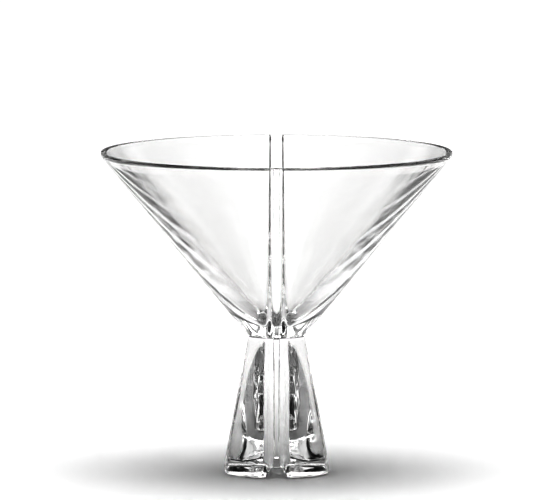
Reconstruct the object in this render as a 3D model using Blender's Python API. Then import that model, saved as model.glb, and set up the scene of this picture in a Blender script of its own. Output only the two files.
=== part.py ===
"""Cocktail glass with a conical bowl on a short flared stem.

Clear glass in two pieces, a bowl and a solid stem, butted at the neck.
Four straight grooves run down the outside from the rim to the foot and cross
under the foot, which leaves it standing on four lobes.

Metres, +Z up. The origin is the middle of the foot, on the resting plane.
"""
import math

import bmesh
import bpy
from mathutils import Vector

# ------------------------------------------------------------ dimensions (m)
RIM_R = 0.06000           # outer radius of the bowl where the lip starts
RIM_Z = 0.10895           # height where the lip starts
LIP_H = 0.0016            # rounded lip above that
LIP_LEAN = 0.40           # and how far it leans out per height
RIM_INNER_R = 0.0577      # inner radius at the lip
BOWL_SLOPE = 0.8110       # outer cone of the bowl, radius per height

STEM_R = 0.0176           # stem cone: radius at STEM_Z ...
STEM_Z = 0.00815
STEM_SLOPE = 0.1892       # ... and how much it loses per height
FOOT_R = 0.0191           # the flare stops at this radius ...
FOOT_BLEND = 0.0010       # ... with this softness
NECK_BLEND = 0.0007       # softness of the waist between the two cones
SEAM_Z = 0.04735          # butt joint between bowl and stem
SEAM_GAP = 0.0003

INNER_TIP_Z = 0.0534      # lowest point of the bowl's inside
INNER_ROUND = 0.0075      # how blunt that point is

FOOT_FILLET = 0.0010      # rounding of the foot's outer edge
CHANNEL_H = 0.0029        # height of the cross channel under the foot
CHANNEL_FILLET = 0.0006   # rounding where groove floor and channel roof meet

GROOVE_D_FOOT = 0.0046    # groove depth, measured level
GROOVE_D_NECK = 0.00205
GROOVE_EASE = 4.0         # the stem grooves keep their depth until near the neck
GROOVE_D_RIM = 0.0013
GROOVE_W_FOOT = 0.0036    # half width at the surface
GROOVE_W_NECK = 0.0036
GROOVE_W_RIM = 0.00245
FLOOR_W_FOOT = 0.00135    # half width of the flat floor
FLOOR_W_NECK = 0.00135
FLOOR_W_RIM = 0.0020
CHANNEL_W = 0.0038        # half width of the cross channel, open side
CHANNEL_FLOOR_W = 0.0019  # and at its roof
CHANNEL_Z = 0.0070        # the groove widens to it below this height
EDGE_ROUND_FOOT = 0.0010  # how far the groove's outer edges are softened
EDGE_ROUND_STEM = 0.0011
EDGE_ROUND_RIM = 0.0003
FLOOR_ROUND = 0.0007      # and the corners of its floor

# ------------------------------------------------------------ mesh density
ARC_STEPS = 8             # steps along each lobe between two grooves
STEM_RINGS = 10
BOWL_RINGS = 9
INNER_RINGS = 11
LIP_STEPS = 6
SKIRT_RINGS = 3
FOOT_STEPS = 3
CHANNEL_RINGS = 2


def lerp(a, b, t):
    return a + (b - a) * t


def outer_radius(z):
    """Both outer cones, with a soft waist where they meet."""
    stem = STEM_R - STEM_SLOPE * (z - STEM_Z)
    stem = 0.5 * (stem + FOOT_R - math.hypot(stem - FOOT_R, FOOT_BLEND))
    bowl = RIM_R - BOWL_SLOPE * (RIM_Z - z)
    return 0.5 * (stem + bowl + math.hypot(stem - bowl, NECK_BLEND))


def inner_radius(z):
    """Inside of the bowl: a cone with a rounded point."""
    top = math.sqrt((RIM_Z - INNER_TIP_Z + INNER_ROUND) ** 2 - INNER_ROUND ** 2)
    slope = RIM_INNER_R / top
    return slope * math.sqrt(max((z - INNER_TIP_Z + INNER_ROUND) ** 2
                                 - INNER_ROUND ** 2, 0.0))


def groove(z):
    """Depth, surface and floor half widths and edge softness at height z."""
    if z >= SEAM_Z:
        t = (z - SEAM_Z) / (RIM_Z - SEAM_Z)
        return (lerp(GROOVE_D_NECK, GROOVE_D_RIM, t),
                lerp(GROOVE_W_NECK, GROOVE_W_RIM, t),
                lerp(FLOOR_W_NECK, FLOOR_W_RIM, t),
                lerp(EDGE_ROUND_STEM, EDGE_ROUND_RIM, t))
    t = z / SEAM_Z
    k = min(max(1.0 - z / CHANNEL_Z, 0.0), 1.0)
    k = k * k * (3.0 - 2.0 * k)
    return (lerp(GROOVE_D_FOOT, GROOVE_D_NECK, t ** GROOVE_EASE),
            lerp(lerp(GROOVE_W_FOOT, GROOVE_W_NECK, t), CHANNEL_W, k),
            lerp(lerp(FLOOR_W_FOOT, FLOOR_W_NECK, t), CHANNEL_FLOOR_W, k),
            lerp(EDGE_ROUND_STEM, EDGE_ROUND_FOOT, k))


def section(depth, w, fw, soft):
    """(offset, depth share) points across a groove, its corners cut off."""
    wall = math.hypot(w - fw, depth)
    du, dv = (w - fw) / wall, -1.0 / wall
    a = min(FLOOR_ROUND, 0.3 * wall)
    b = min(soft, 0.4 * wall)
    half = [(0.0, 1.0), (fw - a, 1.0), (fw + du * a, 1.0 + dv * a),
            (w - du * b, -dv * b), (w + b, 0.0)]
    return [(-u, v) for u, v in reversed(half[1:])] + half


def turn(x, y, quarter):
    """A point of the groove along +X, turned by quarter turns."""
    for _ in range(quarter):
        x, y = -y, x
    return x, y


def ring(place, sec):
    """One closed ring: per quarter a groove section, then a lobe.

    place(u, v) gives the x and z of a groove point.
    """
    strip = []
    for u, v in sec:
        x, z = place(u, v)
        strip.append((x, u, z))
    w = sec[-1][0]
    x, z = place(w, 0.0)
    radius = math.hypot(x, w)
    first = math.atan2(w, x)
    last = 0.5 * math.pi - first
    for i in range(1, ARC_STEPS):
        a = lerp(first, last, i / ARC_STEPS)
        strip.append((radius * math.cos(a), radius * math.sin(a), z))
    return [Vector((*turn(x, y, quarter), z))
            for quarter in range(4) for x, y, z in strip]


def level_ring(z):
    """A ring of the outer surface at one height."""
    depth, w, fw, soft = groove(z)
    r = outer_radius(z)
    return ring(lambda u, v: (lerp(math.sqrt(r * r - u * u), r - depth, v), z),
                section(depth, w, fw, soft))


def skirt_rings(top):
    """Rings from the stem down to the foot's edge, where the groove turns under."""
    rings = []
    for step in range(1, SKIRT_RINGS):
        t = step / SKIRT_RINGS
        z = lerp(top, FOOT_FILLET, t)
        fz = lerp(top, CHANNEL_H + CHANNEL_FILLET, t)
        depth, w, fw, soft = groove(z)
        r = outer_radius(z)
        fx = outer_radius(fz) - depth
        rings.append(ring(lambda u, v: (lerp(math.sqrt(r * r - u * u), fx, v),
                                        lerp(z, fz, v)),
                          section(depth, w, fw, soft)))
    return rings


def foot_rings():
    """Rings round the foot's edge, then in along the resting face."""
    rings = []
    depth, w, fw, soft = groove(0.0)
    sec = section(depth, w, fw, soft)
    r_out = outer_radius(FOOT_FILLET)
    r_floor = outer_radius(CHANNEL_H + CHANNEL_FILLET) - depth
    for step in range(FOOT_STEPS + 1):
        a = 0.5 * math.pi * step / FOOT_STEPS
        r = r_out - FOOT_FILLET * (1.0 - math.cos(a))
        z = FOOT_FILLET * (1.0 - math.sin(a))
        fx = r_floor - CHANNEL_FILLET * (1.0 - math.cos(a))
        fz = CHANNEL_H + CHANNEL_FILLET * (1.0 - math.sin(a))
        rings.append(ring(lambda u, v: (lerp(math.sqrt(r * r - u * u), fx, v),
                                        lerp(z, fz, v)), sec))
    r_in = r_out - FOOT_FILLET
    fx = r_floor - CHANNEL_FILLET
    for step in range(1, CHANNEL_RINGS + 1):
        t = step / CHANNEL_RINGS
        rings.append(ring(lambda u, v: (lerp(lerp(math.sqrt(r_in * r_in - u * u), fx, v),
                                             abs(u), t), CHANNEL_H * v), sec))
    return rings


def lip_rings(outer, inner):
    """Rounded lip from the outer ring over to the inner ring."""
    rings = []
    for step in range(1, LIP_STEPS):
        a = math.pi * step / LIP_STEPS
        points = []
        for p, q in zip(outer, inner):
            c = (p + q) * 0.5 + (p - q) * (0.5 * math.cos(a))
            out = Vector((p.x, p.y, 0.0)).normalized() * LIP_LEAN
            points.append(c + (out + Vector((0, 0, 1))) * (LIP_H * math.sin(a)))
        rings.append(points)
    return rings


def inner_ring(z, pattern):
    """A round ring of the inside, with points in the pattern's directions."""
    radius = inner_radius(z)
    points = []
    for p in pattern:
        a = math.atan2(p.y, p.x)
        points.append(Vector((radius * math.cos(a), radius * math.sin(a), z)))
    return points


def skin(name, rings, cap_start, cap_end, material):
    """Join rings into one closed body and add it to the scene."""
    bm = bmesh.new()
    rows = [[bm.verts.new(p) for p in points] for points in rings]
    count = len(rows[0])
    for low, high in zip(rows, rows[1:]):
        for i in range(count):
            j = (i + 1) % count
            bm.faces.new((low[i], low[j], high[j], high[i]))
    for row, centre in ((rows[0], cap_start), (rows[-1], cap_end)):
        if centre is not None:
            tip = bm.verts.new(centre)
            for i in range(count):
                bm.faces.new((row[i], row[(i + 1) % count], tip))
    bmesh.ops.remove_doubles(bm, verts=bm.verts, dist=1e-6)
    bmesh.ops.dissolve_degenerate(bm, edges=bm.edges, dist=1e-7)
    bmesh.ops.recalc_face_normals(bm, faces=bm.faces)
    mesh = bpy.data.meshes.new(name)
    bm.to_mesh(mesh)
    bm.free()
    mesh.shade_smooth()
    mesh.set_sharp_from_angle(angle=math.radians(28.0))
    mesh.materials.append(material)
    obj = bpy.data.objects.new(name, mesh)
    bpy.context.scene.collection.objects.link(obj)
    return obj


def clear_glass(name, tint):
    material = bpy.data.materials.new(name)
    material.use_nodes = True
    shader = material.node_tree.nodes["Principled BSDF"]
    shader.inputs["Base Color"].default_value = (*tint, 1.0)
    shader.inputs["Roughness"].default_value = 0.02
    shader.inputs["Metallic"].default_value = 0.0
    shader.inputs["IOR"].default_value = 1.52
    shader.inputs["Transmission Weight"].default_value = 1.0
    return material


def make_bowl():
    bottom = SEAM_Z + 0.5 * SEAM_GAP
    # rings crowd towards the waist, where the surface turns
    outside = [level_ring(lerp(bottom, RIM_Z, (i / BOWL_RINGS) ** 1.7))
               for i in range(BOWL_RINGS + 1)]
    pattern = outside[-1]
    lip_inner = inner_ring(RIM_Z, pattern)
    inside = []
    for i in range(1, INNER_RINGS):
        t = (1.0 - i / INNER_RINGS) ** 1.6
        inside.append(inner_ring(lerp(INNER_TIP_Z, RIM_Z, t), pattern))
    rings = (outside + lip_rings(pattern, lip_inner) + [lip_inner] + inside)
    return skin("bowl", rings, Vector((0, 0, bottom)),
                Vector((0, 0, INNER_TIP_Z)),
                clear_glass("bowl_clear_glass", (0.985, 0.988, 0.985)))


def make_stem():
    top = SEAM_Z - 0.5 * SEAM_GAP
    low = CHANNEL_H + 2.0 * CHANNEL_FILLET
    side = [level_ring(lerp(top, low, (i / STEM_RINGS) ** 1.5))
            for i in range(STEM_RINGS + 1)]
    return skin("stem", side + skirt_rings(low) + foot_rings(), Vector((0, 0, top)), None,
                clear_glass("stem_clear_glass", (0.982, 0.985, 0.982)))


for old in list(bpy.data.objects):
    bpy.data.objects.remove(old, do_unlink=True)
make_stem()
make_bowl()
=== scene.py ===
import math

import bmesh
import bpy
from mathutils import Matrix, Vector


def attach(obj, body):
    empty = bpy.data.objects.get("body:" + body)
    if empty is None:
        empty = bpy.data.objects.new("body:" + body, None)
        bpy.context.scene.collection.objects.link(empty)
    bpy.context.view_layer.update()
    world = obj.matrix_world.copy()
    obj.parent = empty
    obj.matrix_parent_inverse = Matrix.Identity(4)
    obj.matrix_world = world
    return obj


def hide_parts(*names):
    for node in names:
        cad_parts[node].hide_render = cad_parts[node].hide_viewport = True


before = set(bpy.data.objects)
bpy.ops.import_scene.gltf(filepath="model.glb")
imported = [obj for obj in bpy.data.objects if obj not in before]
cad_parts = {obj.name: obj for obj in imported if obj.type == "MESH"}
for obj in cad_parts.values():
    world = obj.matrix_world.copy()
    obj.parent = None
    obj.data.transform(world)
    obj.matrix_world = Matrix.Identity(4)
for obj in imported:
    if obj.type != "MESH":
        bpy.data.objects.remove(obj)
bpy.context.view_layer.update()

# ------------------------------------------------------------ dimensions (m)
# The same glass as the solids, with finer rings and softened edges.
RIM_R = 0.06000           # outer radius of the bowl where the lip starts
RIM_Z = 0.10895           # height where the lip starts
LIP_H = 0.0016            # rounded lip above that
LIP_LEAN = 0.40           # and how far it leans out per height
RIM_INNER_R = 0.0577      # inner radius at the lip
BOWL_SLOPE = 0.8110       # outer cone of the bowl, radius per height

STEM_R = 0.0176           # stem cone: radius at STEM_Z ...
STEM_Z = 0.00815
STEM_SLOPE = 0.1892       # ... and how much it loses per height
FOOT_R = 0.01910          # the flare stops at this radius ...
FOOT_BLEND = 0.00100      # ... with this softness
NECK_BLEND = 0.0007       # softness of the waist between the two cones
SEAM_Z = 0.04735          # fused seam between bowl and stem

INNER_TIP_Z = 0.0534      # lowest point of the bowl's inside
INNER_ROUND = 0.0075      # how blunt that point is

FOOT_FILLET = 0.0010      # rounding of the foot's outer edge
CHANNEL_H = 0.0029        # height of the cross channel under the foot
CHANNEL_FILLET = 0.0006   # rounding where groove floor and channel roof meet

GROOVE_D_FOOT = 0.0046    # groove depth, measured level
GROOVE_D_NECK = 0.00205
GROOVE_EASE = 4.0         # the stem grooves keep their depth until near the neck
GROOVE_D_RIM = 0.0013
GROOVE_W_FOOT = 0.0036    # half width at the surface
CHANNEL_W = 0.0038        # half width of the cross channel, open side
CHANNEL_FLOOR_W = 0.0019  # and at its roof
CHANNEL_Z = 0.0070        # the groove widens to it below this height
GROOVE_W_NECK = 0.0036
GROOVE_W_RIM = 0.00245
FLOOR_W_FOOT = 0.00135    # half width of the flat floor
FLOOR_W_NECK = 0.00135
FLOOR_W_RIM = 0.0020
EDGE_ROUND_FOOT = 0.00100
EDGE_ROUND_STEM = 0.00110  # how far the groove's outer edges are softened
EDGE_ROUND_RIM = 0.00030
FLOOR_ROUND = 0.00070      # and the corners of its floor

ARC_STEPS = 40
STEM_RINGS = 44
BOWL_RINGS = 46
INNER_RINGS = 56
LIP_STEPS = 14
SKIRT_RINGS = 14
FOOT_STEPS = 12
CHANNEL_RINGS = 16
ROUND_STEPS = 6
WALL_STEPS = 4
FLOOR_STEPS = 4

# ------------------------------------------------------------ glass skin
DRAW_SCALE = 95.0         # slow waves left by pressing, per metre
DRAW_DEPTH = 0.000100     # and their height (m)
HAZE_SCALE = 420.0        # faint wear in patches
BOWL_HAZE = (0.045, 0.085)
STEM_HAZE = (0.0, 0.020)
WALL_LOW = 0.066          # the bowl's wear keeps to its wall: the thick bottom ...
WALL_HIGH = 0.106         # ... and the fire-polished lip stay clear
WALL_FADE = 0.003
CORD_SCALE = 60.0         # streaks of slightly different melt
TINT_THIN = (1.0, 1.0, 1.0)
TINT_THICK = (0.985, 0.984, 0.981)


def lerp(a, b, t):
    return a + (b - a) * t


def outer_radius(z):
    stem = STEM_R - STEM_SLOPE * (z - STEM_Z)
    stem = 0.5 * (stem + FOOT_R - math.hypot(stem - FOOT_R, FOOT_BLEND))
    bowl = RIM_R - BOWL_SLOPE * (RIM_Z - z)
    return 0.5 * (stem + bowl + math.hypot(stem - bowl, NECK_BLEND))


def inner_radius(z):
    top = math.sqrt((RIM_Z - INNER_TIP_Z + INNER_ROUND) ** 2 - INNER_ROUND ** 2)
    slope = RIM_INNER_R / top
    return slope * math.sqrt(max((z - INNER_TIP_Z + INNER_ROUND) ** 2
                                 - INNER_ROUND ** 2, 0.0))


def groove(z):
    """Depth, surface and floor half widths and edge softness at height z."""
    if z >= SEAM_Z:
        t = (z - SEAM_Z) / (RIM_Z - SEAM_Z)
        return (lerp(GROOVE_D_NECK, GROOVE_D_RIM, t),
                lerp(GROOVE_W_NECK, GROOVE_W_RIM, t),
                lerp(FLOOR_W_NECK, FLOOR_W_RIM, t),
                lerp(EDGE_ROUND_STEM, EDGE_ROUND_RIM, t))
    t = z / SEAM_Z
    k = min(max(1.0 - z / CHANNEL_Z, 0.0), 1.0)
    k = k * k * (3.0 - 2.0 * k)
    return (lerp(GROOVE_D_FOOT, GROOVE_D_NECK, t ** GROOVE_EASE),
            lerp(lerp(GROOVE_W_FOOT, GROOVE_W_NECK, t), CHANNEL_W, k),
            lerp(lerp(FLOOR_W_FOOT, FLOOR_W_NECK, t), CHANNEL_FLOOR_W, k),
            lerp(EDGE_ROUND_STEM, EDGE_ROUND_FOOT, k))


def half_section(depth, w, fw, soft):
    """(offset, depth share) from the middle of a groove's floor out to its edge."""
    floor = (fw, 1.0)
    edge = (w, 0.0)
    wall = math.hypot(w - fw, depth)
    du, dv = (w - fw) / wall, -1.0 / wall
    a = min(FLOOR_ROUND, 0.3 * wall)
    b = min(soft, 0.4 * wall)
    start = (fw - a, 1.0)
    floor_up = (fw + du * a, 1.0 + dv * a)
    edge_low = (w - du * b, -dv * b)
    end = (w + b, 0.0)

    def bend(p, q, r):
        out = []
        for i in range(1, ROUND_STEPS + 1):
            t = i / ROUND_STEPS
            out.append(tuple((1 - t) ** 2 * p[k] + 2 * t * (1 - t) * q[k]
                             + t * t * r[k] for k in (0, 1)))
        return out

    points = [(start[0] * i / FLOOR_STEPS, 1.0) for i in range(FLOOR_STEPS + 1)]
    points += bend(start, floor, floor_up)
    points += [tuple(lerp(floor_up[k], edge_low[k], i / WALL_STEPS) for k in (0, 1))
               for i in range(1, WALL_STEPS + 1)]
    points += bend(edge_low, edge, end)
    return points


def section(depth, w, fw, soft):
    half = half_section(depth, w, fw, soft)
    return [(-u, v) for u, v in reversed(half[1:])] + half


def turn(x, y, quarter):
    for _ in range(quarter):
        x, y = -y, x
    return x, y


def ring(place, sec):
    """One closed ring. place(u, v) gives the (x, z) of a groove point."""
    w = sec[-1][0]
    strip = [(*((lambda p: (p[0], u, p[1]))(place(u, v))),) for u, v in sec]
    x, z = place(w, 0.0)
    radius = math.hypot(x, w)
    first = math.atan2(w, x)
    last = 0.5 * math.pi - first
    for i in range(1, ARC_STEPS):
        a = lerp(first, last, i / ARC_STEPS)
        strip.append((radius * math.cos(a), radius * math.sin(a), z))
    points = []
    for quarter in range(4):
        for px, py, pz in strip:
            points.append(Vector((*turn(px, py, quarter), pz)))
    return points


def level_ring(z):
    depth, w, fw, soft = groove(z)
    r = outer_radius(z)
    floor = r - depth
    return ring(lambda u, v: (lerp(math.sqrt(r * r - u * u), floor, v), z),
                section(depth, w, fw, soft))


def skirt_rings(top):
    """Rings from the stem down to the foot's edge, where the groove turns under."""
    rings = []
    for step in range(1, SKIRT_RINGS):
        t = step / SKIRT_RINGS
        z = lerp(top, FOOT_FILLET, t)
        fz = lerp(top, CHANNEL_H + CHANNEL_FILLET, t)
        depth, w, fw, soft = groove(z)
        r = outer_radius(z)
        fx = outer_radius(fz) - depth
        rings.append(ring(lambda u, v: (lerp(math.sqrt(r * r - u * u), fx, v),
                                        lerp(z, fz, v)),
                          section(depth, w, fw, soft)))
    return rings


def foot_rings():
    rings = []
    depth, w, fw, soft = groove(0.0)
    sec = section(depth, w, fw, soft)
    r_out = outer_radius(FOOT_FILLET)
    r_floor = outer_radius(CHANNEL_H + CHANNEL_FILLET) - depth
    for step in range(FOOT_STEPS + 1):
        a = 0.5 * math.pi * step / FOOT_STEPS
        r = r_out - FOOT_FILLET * (1.0 - math.cos(a))
        z = FOOT_FILLET * (1.0 - math.sin(a))
        fx = r_floor - CHANNEL_FILLET * (1.0 - math.cos(a))
        fz = CHANNEL_H + CHANNEL_FILLET * (1.0 - math.sin(a))
        rings.append(ring(lambda u, v: (lerp(math.sqrt(r * r - u * u), fx, v),
                                        lerp(z, fz, v)), sec))
    r_in = r_out - FOOT_FILLET
    fx = r_floor - CHANNEL_FILLET
    for step in range(1, CHANNEL_RINGS + 1):
        t = step / CHANNEL_RINGS
        rings.append(ring(lambda u, v: (lerp(lerp(math.sqrt(r_in * r_in - u * u), fx, v),
                                             abs(u), t), CHANNEL_H * v), sec))
    return rings


def lip_rings(outer, inner):
    rings = []
    for step in range(1, LIP_STEPS):
        a = math.pi * step / LIP_STEPS
        points = []
        for p, q in zip(outer, inner):
            c = (p + q) * 0.5 + (p - q) * (0.5 * math.cos(a))
            out = Vector((p.x, p.y, 0.0)).normalized() * LIP_LEAN
            points.append(c + (out + Vector((0, 0, 1))) * (LIP_H * math.sin(a)))
        rings.append(points)
    return rings


def inner_ring(z, pattern):
    radius = inner_radius(z)
    points = []
    for p in pattern:
        a = math.atan2(p.y, p.x)
        points.append(Vector((radius * math.cos(a), radius * math.sin(a), z)))
    return points


def skin(name, rings, seam_z, tip, glass, seam):
    """Closed body from rings. The first ring is the fused seam."""
    bm = bmesh.new()
    rows = [[bm.verts.new(p) for p in points] for points in rings]
    count = len(rows[0])
    for low, high in zip(rows, rows[1:]):
        for i in range(count):
            j = (i + 1) % count
            bm.faces.new((low[i], low[j], high[j], high[i])).material_index = 0
    centre = bm.verts.new((0.0, 0.0, seam_z))
    for i in range(count):
        bm.faces.new((rows[0][i], rows[0][(i + 1) % count], centre)).material_index = 1
    if tip is not None:
        point = bm.verts.new(tip)
        for i in range(count):
            bm.faces.new((rows[-1][i], rows[-1][(i + 1) % count], point))
    bmesh.ops.remove_doubles(bm, verts=bm.verts, dist=2e-7)
    bmesh.ops.dissolve_degenerate(bm, edges=bm.edges, dist=1e-7)
    bmesh.ops.recalc_face_normals(bm, faces=bm.faces)
    for e in bm.edges:
        kinds = {f.material_index for f in e.link_faces}
        e.smooth = len(kinds) == 1
    mesh = bpy.data.meshes.new(name)
    bm.to_mesh(mesh)
    bm.free()
    for poly in mesh.polygons:
        poly.use_smooth = True
    mesh.materials.append(glass)
    mesh.materials.append(seam)
    obj = bpy.data.objects.new(name, mesh)
    bpy.context.scene.collection.objects.link(obj)
    return obj


def wire(tree, kind, *values, **settings):
    """Add a node, set or link its inputs in order, and give its first output."""
    node = tree.nodes.new(kind)
    for key, value in settings.items():
        setattr(node, key, value)
    for i, value in enumerate(values):
        if isinstance(value, bpy.types.NodeSocket):
            tree.links.new(value, node.inputs[i])
        elif value is not None:
            node.inputs[i].default_value = value
    return node.outputs[0]


def op(tree, name, a, b=None):
    return wire(tree, "ShaderNodeMath", a, b, operation=name)


def between(tree, share, low, high):
    """low to high as share goes from 0 to 1."""
    return wire(tree, "ShaderNodeMapRange", share, 0.0, 1.0, low, high)


def band(tree, x, lo, hi, soft):
    """1 between lo and hi and 0 outside, with soft ends."""
    up = wire(tree, "ShaderNodeMapRange", x, lo - soft, lo + soft, 0.0, 1.0,
              interpolation_type="SMOOTHSTEP")
    down = wire(tree, "ShaderNodeMapRange", x, hi - soft, hi + soft, 1.0, 0.0,
                interpolation_type="SMOOTHSTEP")
    return op(tree, "MULTIPLY", up, down)


def degrees(tree, x):
    return op(tree, "MULTIPLY", x, 180.0 / math.pi)


def clear_glass(name, seed, hazes, low, high):
    """Clear pressed glass: a slow draw in its skin, faint haze, a trace of tint."""
    mat = bpy.data.materials.new(name)
    mat.use_nodes = True
    tree = mat.node_tree
    shader = tree.nodes["Principled BSDF"]
    shader.inputs["IOR"].default_value = 1.52
    shader.inputs["Transmission Weight"].default_value = 1.0
    place = tree.nodes.new("ShaderNodeTexCoord").outputs["Object"]
    drawn = wire(tree, "ShaderNodeMapping", place, (seed, 0.0, 0.0), None, (1.0, 1.0, 0.35))
    swell = wire(tree, "ShaderNodeTexNoise", drawn, None, DRAW_SCALE, 1.0, 0.4)
    bump = tree.nodes.new("ShaderNodeBump")
    bump.inputs["Distance"].default_value = DRAW_DEPTH
    tree.links.new(swell, bump.inputs["Height"])
    tree.links.new(bump.outputs["Normal"], shader.inputs["Normal"])
    haze = wire(tree, "ShaderNodeTexNoise", drawn, None, HAZE_SCALE, 3.0, 0.6)
    haze = wire(tree, "ShaderNodeMapRange", haze, 0.35, 0.70, *hazes)
    axes = tree.nodes.new("ShaderNodeSeparateXYZ")
    tree.links.new(place, axes.inputs[0])
    worn = band(tree, axes.outputs[2], low, high, WALL_FADE)
    tree.links.new(op(tree, "MULTIPLY", haze, worn), shader.inputs["Roughness"])
    cords = wire(tree, "ShaderNodeTexNoise", drawn, None, CORD_SCALE, 2.0, 0.5)
    mix = tree.nodes.new("ShaderNodeMix")
    mix.data_type = "RGBA"
    colours = [i for i in mix.inputs if i.type == "RGBA"]
    colours[0].default_value = (*TINT_THIN, 1.0)
    colours[1].default_value = (*TINT_THICK, 1.0)
    tree.links.new(cords, mix.inputs[0])
    tree.links.new([o for o in mix.outputs if o.type == "RGBA"][0], shader.inputs["Base Color"])
    return mat


def fused_seam():
    """The seam is fused, so nothing of it is seen."""
    mat = bpy.data.materials.new("fused_seam")
    mat.use_nodes = True
    shader = mat.node_tree.nodes["Principled BSDF"]
    shader.inputs["Alpha"].default_value = 0.0
    return mat


bowl_skin = clear_glass("bowl_clear_glass", 0.0, BOWL_HAZE, WALL_LOW, WALL_HIGH)
stem_skin = clear_glass("stem_clear_glass", 3.7, STEM_HAZE, -1.0, 1.0)
seam = fused_seam()

outside = [level_ring(lerp(SEAM_Z, RIM_Z, (i / BOWL_RINGS) ** 1.8))
           for i in range(BOWL_RINGS + 1)]
pattern = outside[-1]
lip_inner = inner_ring(RIM_Z, pattern)
inside = [inner_ring(lerp(INNER_TIP_Z, RIM_Z, (1.0 - i / INNER_RINGS) ** 2.0), pattern)
          for i in range(1, INNER_RINGS)]
bowl = skin("bowl_glass",
            outside + lip_rings(pattern, lip_inner) + [lip_inner] + inside,
            SEAM_Z, Vector((0, 0, INNER_TIP_Z)), bowl_skin, seam)
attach(bowl, "root")
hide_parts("bowl")

low = CHANNEL_H + 2.0 * CHANNEL_FILLET
side = [level_ring(lerp(SEAM_Z, low, (i / STEM_RINGS) ** 1.6))
        for i in range(STEM_RINGS + 1)]
stem = skin("stem_glass", side + skirt_rings(low) + foot_rings(), SEAM_Z, None,
            stem_skin, seam)
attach(stem, "root")
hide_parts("stem")

# ------------------------------------------------------------ floor
mesh = bpy.data.meshes.new("floor")
bm = bmesh.new()
bmesh.ops.create_circle(bm, cap_ends=True, segments=128, radius=9.0)
bm.to_mesh(mesh)
bm.free()
floor = bpy.data.objects.new("floor", mesh)
floor.location.z = -0.0002
bpy.context.scene.collection.objects.link(floor)
mat = bpy.data.materials.new("pale_floor")
mat.use_nodes = True
tree = mat.node_tree
shader = tree.nodes["Principled BSDF"]
shader.inputs["Roughness"].default_value = 0.9
shader.inputs["Specular IOR Level"].default_value = 0.0
shader.inputs["Base Color"].default_value = (0.95, 0.95, 0.95, 1.0)
mesh.materials.append(mat)

# ------------------------------------------------------------ light
scene = bpy.context.scene
world = bpy.data.worlds.new("studio")
scene.world = world
world.use_nodes = True
tree = world.node_tree
back = tree.nodes["Background"]
back.inputs["Color"].default_value = (1.0, 1.0, 1.0, 1.0)
coord = tree.nodes.new("ShaderNodeTexCoord")
axes = tree.nodes.new("ShaderNodeSeparateXYZ")
tree.links.new(coord.outputs["Generated"], axes.inputs[0])
rise = degrees(tree, op(tree, "ARCSINE", axes.outputs[2]))
angle = degrees(tree, op(tree, "ABSOLUTE", op(tree, "ARCTAN2", axes.outputs[0], axes.outputs[1])))
SOFTBOXES = (             # angle from straight behind, elevation, softness, level
    (-10.0, 32.0, -5.0, 17.0, 6.0, 4.0, 0.40),
    (42.0, 88.0, 54.0, 73.0, 8.0, 6.0, 0.60),
    (22.0, 58.0, 22.0, 34.0, 8.0, 5.0, 0.55),
    (106.0, 190.0, 25.0, 58.0, 6.0, 5.0, 0.90),
    (-10.0, 200.0, 66.0, 100.0, 6.0, 5.0, 5.40),
)
ROOM = 0.01               # the dim room round them
light = ROOM
for a0, a1, e0, e1, soft_a, soft_e, level in SOFTBOXES:
    box = op(tree, "MULTIPLY", band(tree, angle, a0, a1, soft_a),
             band(tree, rise, e0, e1, soft_e))
    light = between(tree, box, light, level)
tree.links.new(light, back.inputs["Strength"])

scene.view_settings.view_transform = "Standard"
scene.view_settings.gamma = 0.50
scene.cycles.max_bounces = 32
scene.cycles.transmission_bounces = 32
scene.cycles.glossy_bounces = 16
scene.cycles.transparent_max_bounces = 32

# ------------------------------------------------------------ camera
cam_data = bpy.data.cameras.new("camera")
cam_data.sensor_width = 36.0
cam_data.lens = 616.0
cam_data.clip_end = 100.0
cam = bpy.data.objects.new("camera", cam_data)
cam.location = (-0.00052, -3.2, 0.41855)
aim = Vector((-0.00052, 0.0, 0.07655)) - cam.location
cam.rotation_mode = "QUATERNION"
cam.rotation_quaternion = aim.to_track_quat("-Z", "Y")
scene.collection.objects.link(cam)
scene.camera = cam
